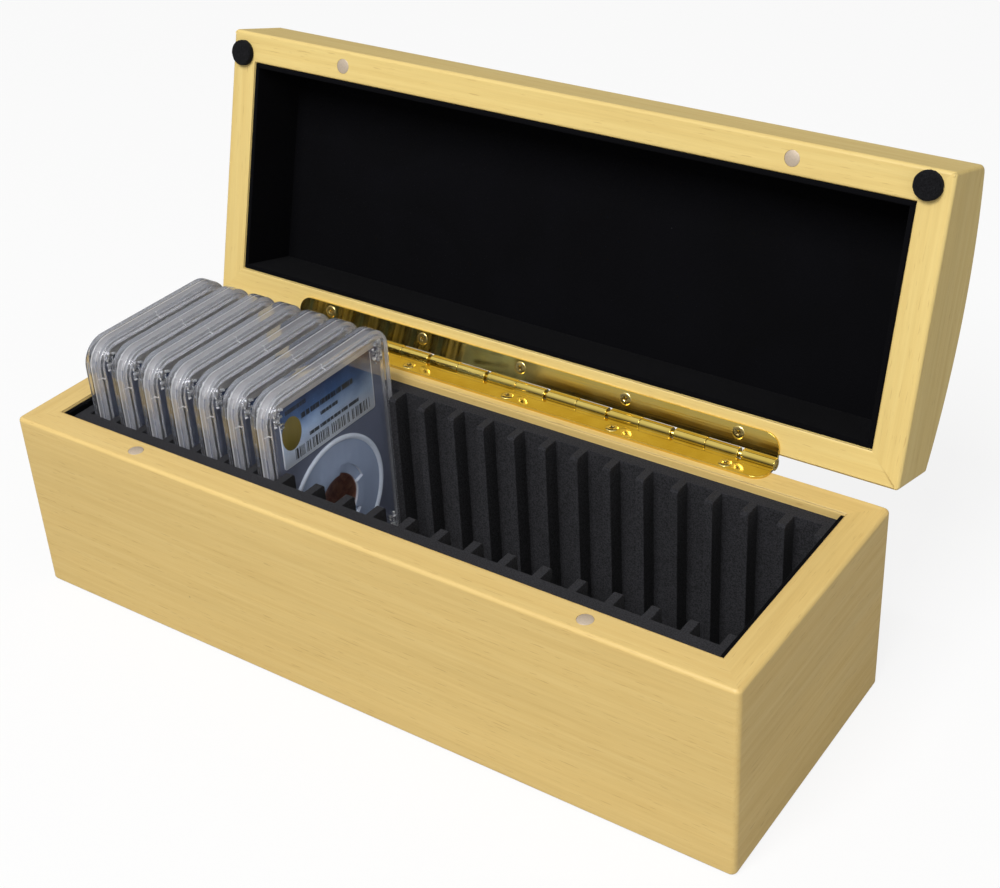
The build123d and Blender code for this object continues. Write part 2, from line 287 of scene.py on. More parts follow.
def plated(name, colour, dull, metallic=1.0):
    """Plated metal with a light grey haze."""
    surface = Surface(name, metallic=metallic)
    haze = surface.noise(surface.place(), scale=1400, detail=3)
    hazy = surface.ramp(haze, (0.3, 0.0), (0.7, 0.25))
    surface.put("Base Color", surface.mix(hazy, linear(*colour), linear(150, 140, 130)))
    surface.put("Roughness", surface.ramp(haze, (0.3, dull), (0.7, dull + 0.12)))
    surface.bump(haze, 0.01 * MM, 0.4)
    return surface.material


def copper():
    """Toned copper, rough in its dark patches and shinier where it is rubbed."""
    surface = Surface("copper", metallic=0.9)
    toning = surface.noise(surface.place(), scale=420, detail=4, distortion=0.6)
    dark = linear(128, 84, 68)
    rubbed = linear(186, 128, 102)
    surface.put("Base Color", surface.ramp(toning, (0.3, dark), (0.7, rubbed)))
    surface.put("Roughness", surface.ramp(toning, (0.3, 0.42), (0.7, 0.28)))
    surface.bump(toning, 0.05 * MM, 0.5)
    return surface.material


def let_light_in(surface, share):
    """Let lamps shine through a clear surface: what it shades is lit by the given share."""
    shadow = surface.add("LightPath", {}, output="Is Shadow Ray")
    passing = surface.add("BsdfTransparent", {"Color": (share, share, share, 1)})
    mixed = surface.add("MixShader", {0: shadow, 1: surface.shader.outputs[0], 2: passing})
    surface.feed(surface.tree.nodes["Material Output"], "Surface", mixed)


def window_plastic():
    """Clear plastic, flat and polished, for the windows in front of the label and the coin."""
    surface = Surface("clear_window", transmission_weight=1.0, ior=PLASTIC_IOR,
                      base_color=linear(250, 251, 254))
    waves = surface.noise(surface.place(), scale=110, detail=1)
    scuffs = surface.noise(surface.place((400, 4000, 900)), detail=3)
    surface.put("Roughness", surface.ramp(scuffs, (0.55, 0.01), (0.8, 0.06)))
    surface.bump(waves, 0.02 * MM, 0.4)
    let_light_in(surface, 0.85)
    return surface.material


def border_plastic(name, painted_top_grey, haze, rough, marked):
    """Clear plastic of the thick border, dusty and painted grey on its upward faces, with a painted
    highlight white at the seam, with or without marks.
    """
    surface = Surface(name, ior=PLASTIC_IOR, coat_weight=1.0, coat_roughness=0.03)
    flow = surface.noise(surface.place((60, 20, 20)), detail=1)
    normal = surface.add("TexCoord", {}, output="Normal")
    # Upward faces are greyed and hazed: partly dust, partly a painted grey for the reflection seen on top.
    dust_and_painted_grey = surface.ramp(surface.split(normal)[2], (0.4, 0.15), (0.9, 1.0))
    tone = surface.mix(dust_and_painted_grey, linear(224, 225, 230), linear(*painted_top_grey))

    x, y, z = surface.split(surface.place((1 / MM, 1 / MM, 1 / MM)))
    # The white band at the seam is a painted highlight.
    seam_half_width = 0.3
    seam_highlight = surface.maths("LESS_THAN", surface.maths("ABSOLUTE", x), seam_half_width)
    white = surface.product(seam_highlight, 0.5)
    if marked:
        white = surface.maths("MAXIMUM", white, seam_marks(surface, x, y, z))

    surface.put("Base Color", surface.mix(white, tone, linear(245, 245, 248)))
    opaque = surface.maths("MAXIMUM", white, surface.product(dust_and_painted_grey, haze))
    surface.put("Transmission Weight", surface.maths("SUBTRACT", 1.0, opaque))
    surface.put("Roughness", surface.ramp(flow, (0.3, rough), (0.7, rough * 1.4)))
    let_light_in(surface, 0.8)
    return surface.material


def seam_marks(surface, x, y, z):
    """How white the two marks are that cross a holder's front half, from its centre in millimetres."""
    half_thickness = HOLDER_SIZE.x / 2 / MM
    top = HOLDER_SIZE.z / 2 / MM
    front = -HOLDER_SIZE.y / 2 / MM
    depth = 1.8
    top_mark_y = -2.0
    front_mark_z = top - 12.0

    def mark(away, near_edge):
        """A faint line across the front half that widens and whitens towards the ridge."""
        half_width = surface.maths("ADD", surface.product(x, 0.05), 0.05)
        thin = surface.maths("LESS_THAN", surface.maths("ABSOLUTE", away), half_width)
        across = surface.maths("DIVIDE", x, half_thickness)
        fade = surface.ramp(across, (0.2, 0.0), (0.3, 0.15), (0.5, 0.2), (0.65, 0.6))
        return surface.product(thin, fade, near_edge)

    near_top = surface.maths("GREATER_THAN", z, top - depth)
    near_front = surface.maths("LESS_THAN", y, front + depth)
    return surface.maths("MAXIMUM",
                         mark(surface.maths("SUBTRACT", y, top_mark_y), near_top),
                         mark(surface.maths("SUBTRACT", z, front_mark_z), near_front))


def weld_glint_plastic():
    """Glassy plastic with whitish clouds, a painted glint, where the two shells are welded together."""
    surface = Surface("weld_beads", ior=PLASTIC_IOR, roughness=0.06, transmission_weight=0.12,
                      coat_weight=1.0, coat_roughness=0.02)
    # The white in these clouds is a painted glint on the beads.
    clouds = surface.noise(surface.place(), scale=900, detail=2)
    grey = linear(190, 193, 204)
    white = linear(253, 253, 254)
    surface.put("Base Color", surface.ramp(clouds, (0.4, grey), (0.6, white)))
    let_light_in(surface, 0.6)
    return surface.material


def moulded_plastic(name, colour, roughness, top_colour_with_painted_light=None):
    """Satin moulded plastic with slight blotches. A top colour is for what lies above the label, lighter
    there partly by its own tone and partly as painted light on the shade between holders.
    """
    surface = Surface(name, roughness=roughness)
    tone = linear(*colour)
    # Above the label the plate is lighter: partly its own paler top, partly painted light where neighbouring
    # holders shade it.
    if top_colour_with_painted_light:
        z = surface.split(surface.place())[2]
        label_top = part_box("holder_1_label")[1].z - HOLDER_CENTRE.z
        above = surface.maths("GREATER_THAN", z, label_top)
        tone = surface.mix(above, tone, linear(*top_colour_with_painted_light))
    blotches = surface.noise(surface.place(), scale=240, detail=3)
    shade = surface.ramp(blotches, (0.3, 0.94), (0.7, 1.0))
    surface.put("Base Color", surface.mix(1.0, tone, shade, "MULTIPLY"))
    surface.bump(blotches, 0.02 * MM, 0.4)
    return surface.material


# The label's printed rules, from the top: each one's lower edge and thickness as shares of the
# label's height, then its ends in millimetres from the label's middle.
LABEL_RULES = ((0.87, 0.07, -20, -10), (0.66, 0.09, -13, 13), (0.5, 0.06, -4, 5), (0.3, 0.06, -10, 15))


def label_paper():
    """A printed label: blue at the top, pale below, with rules, a band of bars, a plain patch and a painted
    highlight along its sides and foot.
    """
    surface = Surface("label_paper", roughness=0.55)
    place = surface.place((1 / MM, 1 / MM, 1 / MM))
    _, y, z = surface.split(place)
    low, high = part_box("holder_1_label")
    bottom = (low.z - HOLDER_CENTRE.z) / MM
    height = (high.z - low.z) / MM
    half_width = (high.y - low.y) / 2 / MM
    edge_glint_width = 0.35
    up = surface.maths("SUBTRACT", z, bottom)
    rise = surface.maths("DIVIDE", up, height)

    blotches = surface.noise(place, scale=0.11, detail=3)
    clouds = surface.product(surface.maths("SUBTRACT", blotches, 0.5), 0.35)
    colour = surface.ramp(surface.maths("ADD", rise, clouds),
                          (0.05, linear(222, 228, 236)), (0.42, linear(150, 172, 202)),
                          (0.72, linear(54, 82, 120)), (1.0, linear(16, 32, 62)))
    print_share = surface.product(label_print(surface, y, rise, half_width), 0.96)
    colour = surface.mix(print_share, colour, linear(10, 11, 15))
    # A pale strip along the sides and foot is a painted highlight on the card's edge.
    from_side = surface.maths("SUBTRACT", half_width, surface.maths("ABSOLUTE", y))
    from_edge = surface.maths("MINIMUM", from_side, up)
    colour = surface.mix(surface.maths("LESS_THAN", from_edge, edge_glint_width), colour, linear(236, 240, 246))
    patch = label_patch(surface, y, z, 5.0 - half_width, bottom + height * 0.53)
    surface.put("Base Color", surface.mix(patch, colour, linear(98, 85, 22)))
    surface.bump(surface.noise(place, scale=9, detail=3), 0.01 * MM, 0.4)
    return surface.material


def label_print(surface, y, rise, half_width):
    """Where the label is dark: a band of bars at its foot and broken rules above."""
    bars_start = 5 - half_width
    bars_stop = half_width - 2.5
    across = surface.add("CombineXYZ", {"X": y})

    def band(value, low_edge, high_edge):
        above = surface.maths("GREATER_THAN", value, low_edge)
        below = surface.maths("LESS_THAN", value, high_edge)
        return surface.product(above, below)

    def breaks(scale, detail, level):
        """Stretches across the label where a noise is above a level."""
        noise = surface.add("TexNoise", {"Vector": across, "Scale": scale, "Detail": detail})
        return surface.maths("GREATER_THAN", noise, level)

    inside = surface.product(band(rise, 0.06, 0.24), band(y, bars_start, bars_stop))
    dark = surface.product(breaks(2.0, 0.0, 0.5), inside)
    for level, thickness, start, stop in LABEL_RULES:
        line = surface.product(band(rise, level, level + thickness), band(y, start, stop))
        dark = surface.maths("MAXIMUM", dark, surface.product(line, breaks(0.8 + level, 1.0, 0.42)))
    return dark


def label_patch(surface, y, z, middle_y, middle_z):
    """Where the label has its plain oval patch, which is taller than it is wide."""
    half_width = 4.6
    stretch = 1.3
    off_y = surface.maths("SUBTRACT", y, middle_y)
    off_z = surface.maths("DIVIDE", surface.maths("SUBTRACT", z, middle_z), stretch)
    squares = surface.maths("ADD", surface.product(off_y, off_y), surface.product(off_z, off_z))
    return surface.maths("LESS_THAN", surface.maths("SQRT", squares), half_width)


# ---------------------------------------------------------------- shapes

def piece(name, shape, *materials):
    """An object made of a finished bmesh, with smooth shading and the given materials."""
    mesh = bpy.data.meshes.new(name)
    bmesh.ops.recalc_face_normals(shape, faces=shape.faces)
    shape.to_mesh(mesh)
    shape.free()
    for face in mesh.polygons:
        face.use_smooth = True
    for material in materials:
        mesh.materials.append(material)
    return from_mesh(name, mesh)


def from_mesh(name, mesh):
    """An object in the scene that shows a mesh."""
    made = bpy.data.objects.new(name, mesh)
    bpy.context.scene.collection.objects.link(made)
    return made


def settle(made, node):
    """The piece rides with the node's body and stands for the node, whose own part is hidden."""
    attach(made, frame["nodes"][node]["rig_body"])
    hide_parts(node)
    return made


def put_copies(made, places):
    """Copies of a piece at each of the given places, each standing for its node."""
    for index, (node, matrix) in enumerate(places):
        copy = made if index == 0 else from_mesh(f"{made.name}_{index + 1}", made.data)
        copy.matrix_world = matrix
        settle(copy, node)


def soften(made, width, segments=3, by_weight=False):
    """Round a piece's edges, and let its flat faces keep their shading."""
    bevel = made.modifiers.new("ease", "BEVEL")
    bevel.width = width
    bevel.segments = segments
    bevel.use_clamp_overlap = False
    bevel.limit_method = "WEIGHT" if by_weight else "ANGLE"
    bevel.angle_limit = math.radians(35)
    made.modifiers.new("shade", "WEIGHTED_NORMAL").keep_sharp = True


def skin(node):
    """A search tree over a node's surface."""
    mesh = frame["nodes"][node].data
    points = [point.co for point in mesh.vertices]
    return BVHTree.FromPolygons(points, [face.vertices for face in mesh.polygons])


SKINS = {node: skin(node) for node in frame["nodes"] if not node.startswith("holder_")}


def on_neighbour(edge, node):
    """Whether an edge lies on another node's surface, as at a joint between two panels."""
    middle = (edge.verts[0].co + edge.verts[1].co) / 2
    near = 0.06 * MM
    others = [tree for name, tree in SKINS.items() if name != node]
    return any(tree.find_nearest(middle, near)[0] is not None for tree in others)


def eased_copy(node, width, material):
    """The node's shape with rounded edges. An edge at a joint with a neighbour stays sharp."""
    same_point = 0.001 * MM
    flat = math.radians(0.5)
    edge_angle = math.radians(32)
    shape = bmesh.new()
    shape.from_mesh(frame["nodes"][node].data)
    bmesh.ops.remove_doubles(shape, verts=shape.verts, dist=same_point)
    bmesh.ops.dissolve_limit(shape, angle_limit=flat, verts=shape.verts, edges=shape.edges)
    weight = shape.edges.layers.float.new("bevel_weight_edge")
    for edge in shape.edges:
        if edge.calc_face_angle(0) > edge_angle:
            edge.smooth = not on_neighbour(edge, node)
            edge[weight] = 1.0 if edge.smooth else 0.0
    made = piece("look_" + node, shape, material)
    soften(made, width, by_weight=True)
    return settle(made, node)


def join_rings(shape, lower, upper, material=0):
    """Faces between two rings of points, either of which may be a single point."""
    count = max(len(lower), len(upper))
    for step in range(count):
        after = (step + 1) % count
        corners = [lower[step % len(lower)], lower[after % len(lower)],
                   upper[after % len(upper)], upper[step % len(upper)]]
        unique = [corner for index, corner in enumerate(corners) if corner not in corners[:index]]
        if len(unique) > 2:
            shape.faces.new(unique).material_index = material


def lathe(profile, steps=64, wobble=0.0):
    """A solid turned about Z from points of (radius, height), first and last on the axis."""
    shape = bmesh.new()
    rings = []
    for radius, height in profile:
        if radius == 0:
            rings.append([shape.verts.new((0, 0, height))])
            continue
        ring = []
        for step in range(steps):
            angle = 2 * math.pi * step / steps
            reach = radius * (1 + random.uniform(-wobble, wobble))
            ring.append(shape.verts.new((reach * math.cos(angle), reach * math.sin(angle), height)))
        rings.append(ring)
    for lower, upper in zip(rings, rings[1:]):
        join_rings(shape, lower, upper)
    return shape


def disc_profile(radius, low, high, ease):
    """The profile of a flat disc with eased rims."""
    nip = 0.3 * ease
    foot = [(0, low), (radius - ease, low), (radius - nip, low + nip), (radius, low + ease)]
    head = [(radius, high - ease), (radius - nip, high - nip), (radius - ease, high), (0, high)]
    return foot + head


def lid_place(x, y, z):
    """The matrix that puts a piece, drawn upright, at a point of the closed lid and opens it."""
    pivot = Vector(HINGE["pos_m"])
    turn = Matrix.Translation(pivot) @ Matrix.Rotation(-LID_TURN, 4, "X") @ Matrix.Translation(-pivot)
    return turn @ Matrix.Translation((x, y, z))


def lid_seat(x, y, box_face):
    """The matrix that sets a piece in the lid's rim, face down. The hinge's axis lies midway between
    the lid's rim and the given face of the box."""
    lid_face = 2 * HINGE["pos_m"][2] - box_face
    return lid_place(x, y, lid_face) @ Matrix.Rotation(math.pi, 4, "X")


# ---------------------------------------------------------------- box and lid

def wooden_panels():
    """The mitred walls and rails, the floor and the domed top."""
    edge_width = 0.42 * MM
    along = wood("wood_along", CASE_TONES, True)
    across = wood("wood_across", CASE_TONES, False)
    along_lid = wood("wood_along_lid", LID_TONES_PAINTED_LIGHTER, True, LID_TURN)
    across_lid = wood("wood_across_lid", LID_TONES_PAINTED_LIGHTER, False, LID_TURN)
    for side in ("front", "back"):
        eased_copy(f"base_{side}_panel", edge_width, along)
        eased_copy(f"lid_{side}_rail", edge_width, along_lid)
    for side in ("left", "right"):
        eased_copy(f"base_{side}_panel", edge_width, across)
        eased_copy(f"lid_{side}_rail", edge_width, across_lid)
    eased_copy("base_floor_panel", edge_width, along)
    eased_copy("lid_top_panel", edge_width, along_lid)


def soft_linings():
    """Foam inserts, the pad under them and the velvet boards."""
    grey = foam()
    black = velvet()
    for node in ("slot_insert_front", "slot_insert_back"):
        eased_copy(node, 0.2 * MM, grey)
    eased_copy("insert_floor_pad", 0.3 * MM, grey)
    for node in ("base_end_linings", "lid_lining_top", "lid_lining_sides", "lid_lining_ends"):
        eased_copy(node, 0.4 * MM, black)


def magnet_discs():
    """Plated discs set flush in the front rims."""
    finish = plated("nickel", (208, 190, 168), 0.4, 0.35)
    low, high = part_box("base_magnets")
    radius = (high.y - low.y) / 2
    middle = (low.y + high.y) / 2
    disc = piece("look_magnet", lathe(disc_profile(radius, low.z - high.z, 0, 0.15 * MM)), finish)
    places = []
    for x in (low.x + radius, high.x - radius):
        places.append(("base_magnets", Matrix.Translation((x, middle, high.z))))
        places.append(("lid_magnets", lid_seat(x, middle, high.z)))
    put_copies(disc, places)


def bumper_shape(radius, thickness):
    """A felt disc with a soft, uneven rim and face."""
    side = radius * 0.985
    profile = [(0, 0), (radius * 0.5, 0), (radius * 0.9, 0), (side, 0.25 * MM), (side, thickness * 0.6),
               (radius * 0.97, thickness - 0.3 * MM), (radius * 0.92, thickness - 0.06 * MM)]
    profile += [(radius * share, thickness) for share in (0.75, 0.5, 0.25, 0)]
    shape = lathe(profile, wobble=0.012)
    for point in shape.verts:
        if point.co.z > thickness * 0.8:
            point.co.z -= random.uniform(0, 0.12 * MM)
    return shape


def felt_bumpers():
    """The felt discs on the lid's front corners, not quite alike in where they sit."""
    random.seed(4)
    black = felt()
    low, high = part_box("base_front_panel")
    left_bumper = (low.x + 4.6 * MM, low.y + 7.6 * MM)
    right_bumper = (high.x - 6.8 * MM, low.y + 5.0 * MM)
    for index, (x, y) in enumerate((left_bumper, right_bumper)):
        made = piece(f"look_bumper_{index + 1}", bumper_shape(4.5 * MM, 2.1 * MM), black)
        made.matrix_world = lid_seat(x, y, high.z)
        settle(made, "lid_bumpers")


# ---------------------------------------------------------------- hinge

def hinge():
    """Brass leaves and pin, and cross-head screws turned to chance angles."""
    random.seed(11)
    hinge_leaves()
    hinge_pin()
    hinge_screws()


def hinge_leaves():
    """The two leaves, whose brass is drawn along the hinge."""
    edge_width = 0.12 * MM
    base_leaf = eased_copy("hinge_base_leaf", edge_width, brass("brass_base"))
    near_knuckles(base_leaf, Matrix())
    lid_leaf = eased_copy("hinge_lid_leaf", edge_width, brass("brass_lid", LID_TURN))
    near_knuckles(lid_leaf, lid_place(0, 0, 0))


def near_knuckles(leaf, turn):
    """Bring a leaf's back edge nearer to the other leaf's knuckles, with the lid turned as given."""
    edge_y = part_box("base_back_panel")[1].y
    closed = turn.inverted()
    for point in leaf.data.vertices:
        place = closed @ point.co
        if abs(place.y - edge_y) < 0.02 * MM:
            place.y += 0.3 * MM
            point.co = turn @ place


def hinge_pin():
    """The rod through the knuckles."""
    low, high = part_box("hinge_pin")
    radius = (high.z - low.z) / 2
    rod = lathe(disc_profile(radius, 0, high.x - low.x, 0.25 * MM), steps=32)
    pin = piece("look_hinge_pin", rod, brass("brass_pin"))
    centre = (low + high) / 2
    pin.matrix_world = Matrix.Translation((low.x, centre.y, centre.z)) @ Matrix.Rotation(math.pi / 2, 4, "Y")
    settle(pin, "hinge_pin")


def hinge_screws():
    """One screw is drawn, and the others of both leaves show the same mesh."""
    low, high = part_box("hinge_base_screws")
    head_radius = (high.y - low.y) / 2
    middle = (low.y + high.y) / 2
    pitch = (high.x - low.x - 2 * head_radius) / (SCREWS_PER_LEAF - 1)
    gold = plated("screw_brass", (250, 224, 140), 0.16)
    screw = piece("look_screw", screw_shape(head_radius, head_radius / 2), gold, dull_brass())
    places = []
    for index in range(SCREWS_PER_LEAF):
        x = low.x + head_radius + index * pitch
        twist = Matrix.Rotation(random.uniform(0, math.pi / 2), 4, "Z")
        places.append(("hinge_base_screws", Matrix.Translation((x, middle, high.z)) @ twist))
        twist = Matrix.Rotation(random.uniform(0, math.pi / 2), 4, "Z")
        places.append(("hinge_lid_screws", lid_seat(x, middle, high.z) @ twist))
    put_copies(screw, places)


def screw_shape(head_radius, sink):
    """A countersunk screw about Z, with a low dome and a cross recess, down from the dome's top at 0."""
    shape = bmesh.new()
    steps = 48
    arm = 0.44 * head_radius
    half = 0.1 * head_radius

    def ring(points, height):
        return [shape.verts.new((x, y, height)) for x, y in points]

    def circle(radius):
        angles = [2 * math.pi * step / steps for step in range(steps)]
        return [(radius * math.cos(angle), radius * math.sin(angle)) for angle in angles]

    def cross(scale):
        turned = [(arm, -half), (arm, half), (half, half)]
        outline = []
        for _ in range(4):
            outline += turned
            turned = [(-y, x) for x, y in turned]
        return [(x * scale, y * scale) for x, y in outline]

    crown = ring(circle(head_radius * 0.5), 0)
    mouth = ring(cross(1), 0)
    loops = [shape.edges.new((a, b)) for line in (crown, mouth) for a, b in zip(line, line[1:] + line[:1])]
    bmesh.ops.triangle_fill(shape, use_beauty=True, use_dissolve=False, edges=loops)
    bottom = ring(cross(0.5), -0.25 * head_radius)
    join_rings(shape, mouth, bottom, RECESS)
    shape.faces.new(bottom).material_index = RECESS

    dome = [(0.8, 0.03), (0.95, 0.07), (1.0, 0.12)]
    outside = [crown] + [ring(circle(head_radius * reach), -drop * head_radius) for reach, drop in dome]
    outside += [ring(circle(head_radius - sink), -depth) for depth in (sink, 3 * sink)]
    for upper, lower in zip(outside, outside[1:]):
        join_rings(shape, upper, lower, HEAD)
    shape.faces.new(outside[-1])
    return shape


# ---------------------------------------------------------------- coin holders

def rounded_ring(shape, inset, x, corner=None):
    """Points round the holder's outline, drawn in by an inset, at one place across it."""
    corner = corner or HOLDER_CORNER - inset
    corner_steps = 10
    across = HOLDER_SIZE.y / 2 - inset - corner
    up = HOLDER_SIZE.z / 2 - inset - corner
    ring = []
    for turn, (side_y, side_z) in enumerate(((1, 1), (-1, 1), (-1, -1), (1, -1))):
        for step in range(corner_steps + 1):
            angle = (turn + step / corner_steps) * math.pi / 2
            y = side_y * across + corner * math.cos(angle)
            z = side_z * up + corner * math.sin(angle)
            ring.append(shape.verts.new((x, y, z)))
    return ring


def clear_shell(sign):
    """One clear half on the +X or -X side: a stacking ridge stands on its face."""
    shape = bmesh.new()
    seam = 0.04 * MM
    pocket = 1.9 * MM
    full = HOLDER_SIZE.x / 2
    ridge_inner = RIDGE_INSET + RIDGE_WIDTH
    inner_corner = 1.6 * MM
    rings = [rounded_ring(shape, ridge_inner, sign * x, inner_corner) for x in (BODY_HALF, full)]
    chain = [(RIDGE_INSET, full), (RIDGE_INSET, BODY_HALF), (0, BODY_HALF), (0, seam), (HOLDER_WALL, seam),
             (HOLDER_WALL, pocket)]
    rings += [rounded_ring(shape, inset, sign * x) for inset, x in chain]
    rim_start = len(rings) - 4
    for index, (first, second) in enumerate(zip(rings, rings[1:])):
        join_rings(shape, first, second, RIM if index == rim_start else RIDGE)
    for window in (rings[0], rings[-1]):
        shape.faces.new(window).material_index = WINDOW
    for side_y in (-1, 1):
        for side_z in (-1, 1):
            weld_beads(shape, sign, side_y, side_z)
    return shape


def weld_beads(shape, sign, side_y, side_z):
    """Glassy beads, left by the welding, on the face at one corner inside the ridge."""
    bead_count = 34
    from_side = (4.4, 8.4)
    from_end = (4.6, 12.5)
    for _ in range(bead_count):
        y = side_y * (HOLDER_SIZE.y / 2 - random.uniform(*from_side) * MM)
        z = side_z * (HOLDER_SIZE.z / 2 - random.uniform(*from_end) * MM)
        radius = random.uniform(0.35, 0.75) * MM
        place = Matrix.Translation((sign * (BODY_HALF + 0.3 * MM), y, z))
        tilt = Matrix.Rotation(random.uniform(0, math.pi), 4, random.choice("XYZ"))
        stretch = Matrix.Diagonal((random.uniform(0.7, 1.0), random.uniform(0.8, 1.5), 1, 1))
        known = set(shape.faces)
        bmesh.ops.create_icosphere(shape, subdivisions=1, radius=radius, matrix=place @ tilt @ stretch)
        for face in set(shape.faces) - known:
            face.material_index = WELD


def plate_reach(outline, angle):
    """How far the plate's outline lies from the coin's centre in a direction."""
    centre = Vector((0, COIN_Z))
    beyond = 200 * MM
    far = centre + Vector((math.cos(angle), math.sin(angle))) * beyond
    hits = []
    for first, second in zip(outline, outline[1:] + outline[:1]):
        spare = (second - first) * 0.01
        hit = geometry.intersect_line_line_2d(centre, far, first - spare, second + spare)
        if hit:
            hits.append((hit - centre).length)
    return min(hits)


def prong_angles():
    """Where each of the three prongs starts and ends round the coin, seen from +X."""
    middles = (108, 228, 348)
    half_width = 27
    return [(math.radians(middle - half_width), math.radians(middle + half_width)) for middle in middles]


def in_gap(angle):
    """Whether a direction from the coin's centre passes between two prongs."""
    turns = (angle, angle + 2 * math.pi)
    return not any(start < turned < end for start, end in prong_angles() for turned in turns)


def core_angles(outline):
    """The directions in which the core has points: even steps, the prongs' sides, the plate's outline."""
    steps = 120
    step_edge = math.radians(0.3)
    angles = [2 * math.pi * step / steps for step in range(steps)]
    for edge in [edge for pair in prong_angles() for edge in pair]:
        angles += [(edge - step_edge) % (2 * math.pi), (edge + step_edge) % (2 * math.pi)]
    angles += [math.atan2(point.y - COIN_Z, point.x) % (2 * math.pi) for point in outline]
    return sorted(angles)


def dished_core():
    """The insert: a grey plate and a milky ring, whose broad prongs hold the coin between gaps."""
    shape = bmesh.new()
    outline_points = rounded_ring(shape, HOLDER_WALL + 0.15 * MM, 0)
    outline = [Vector((point.co.y, point.co.z)) for point in outline_points]
    bmesh.ops.delete(shape, geom=outline_points, context="VERTS")
    angles = core_angles(outline)

    def loop(radius_of, x_of):
        return [shape.verts.new((x_of(angle), radius_of(angle) * math.cos(angle),
                                 COIN_Z + radius_of(angle) * math.sin(angle))) for angle in angles]

    def circle(radius, x, gap_x=None):
        """A circle of points, in millimetres, which may lie at another depth in the gaps."""
        gap_x = x if gap_x is None else gap_x
        return loop(lambda angle: radius * MM, lambda angle: (gap_x if in_gap(angle) else x) * MM)

    def edge(x):
        return loop(lambda angle: plate_reach(outline, angle), lambda angle: x)

    # From here on, what circle is given is in millimetres: a radius, a depth and a depth in the gaps.
    hole = COIN_RADIUS / MM + 0.05
    ring_radius = 23.5
    plate_half = CORE_HALF / MM
    plate = [circle(hole, -plate_half), edge(-CORE_HALF), edge(CORE_HALF), circle(ring_radius, plate_half)]
    bead = [(23.45, 1.3), (23.2, 1.55), (22.8, 1.68), (22.3, 1.62), (21.9, 1.35), (21.6, 0.98)]
    dish = [(21.2, 0.9), (17.2, 1.12), (16.9, 1.2), (15.2, 1.24), (14.9, 1.34), (13.2, 1.42)]
    prongs = [(13.0, 1.48, 1.4), (12.9, 1.5, 0.42), (10.0, 1.56, 0.3), (hole, 1.35, 0.28)]
    ring = [circle(*numbers) for numbers in bead + dish + prongs]
    for first, second in zip(plate, plate[1:]):
        join_rings(shape, first, second, PLATE)
    for index, (first, second) in enumerate(zip([plate[-1]] + ring, ring + [plate[0]])):
        join_rings(shape, first, second, PALE_GLINT if index < len(bead) else RING)
    # The ring's steep walls take the pale material too: a painted highlight.
    shape.normal_update()
    for face in shape.faces:
        if face.material_index == RING and abs(face.normal.x) < 0.6:
            face.material_index = PALE_GLINT
    return shape


def coin_shape():
    """A struck blank: raised rims, a sunk field and a plain centre."""
    half = 0.75 * MM
    drops = [(0, 0.26), (0.4, 0.24), (0.86, 0.28), (0.89, 0.1), (0.91, 0), (0.975, 0), (1.0, 0.16)]
    upper = [(share * COIN_RADIUS, half - drop * MM) for share, drop in drops]
    return lathe(upper + [(radius, -height) for radius, height in reversed(upper)], steps=72)


def eased_label():
    """A thin card with round corners, about the holder's centre."""
    low, high = (corner - HOLDER_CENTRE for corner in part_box("holder_1_label"))
    shape = bmesh.new()
    corner = 1.0 * MM
    corner_steps = 5
    rings = []
    for x in (low.x, high.x):
        ring = []
        for turn, (y, z) in enumerate(((high.y, high.z), (low.y, high.z), (low.y, low.z), (high.y, low.z))):
            middle_y = y - math.copysign(corner, y)
            middle_z = z - (corner if z == high.z else -corner)
            for step in range(corner_steps + 1):
                angle = (turn + step / corner_steps) * math.pi / 2
                reach_y = middle_y + corner * math.cos(angle)
                reach_z = middle_z + corner * math.sin(angle)
                ring.append(shape.verts.new((x, reach_y, reach_z)))
        rings.append(ring)
    join_rings(shape, *rings)
    for ring in rings:
        shape.faces.new(ring)
    label = piece("look_label", shape)
    soften(label, 0.03 * MM, 1)
    return label


def shell_pieces():
    """The front and back shells: the rim, the window, the weld beads and the ridge."""
    window = window_plastic()
    weld = weld_glint_plastic()
    # The greys below go on the upward faces of rim and ridge: partly dust, partly painted reflection.
    ridge_painted_top_grey = (176, 178, 184)
    front_rim = border_plastic("front_rim", (146, 146, 151), 0.6, 0.04, True)
    front_ridge = border_plastic("front_ridge", ridge_painted_top_grey, 0.35, 0.03, True)
    back_rim = border_plastic("back_rim", (160, 165, 178), 0.3, 0.04, False)
    back_ridge = border_plastic("back_ridge", ridge_painted_top_grey, 0.35, 0.03, False)
    front = piece("look_front_shell", clear_shell(1), front_rim, window, weld, front_ridge)
    back = piece("look_back_shell", clear_shell(-1), back_rim, window, weld, back_ridge)
    return front, back


def core_piece():
    """The core, with its plate, its ring and the ring's bead, which is painted pale as a highlight, as are
    the ring's steep walls.
    """
    # The plate's last colour, above the label, is partly painted light.
    plate = moulded_plastic("core_plate", (100, 106, 124), 0.45, (172, 168, 162))
    ring = moulded_plastic("core_ring", (164, 178, 202), 0.07)
    bead = moulded_plastic("core_bead_glint", (216, 224, 236), 0.05)
    return piece("look_core", dished_core(), plate, ring, bead)


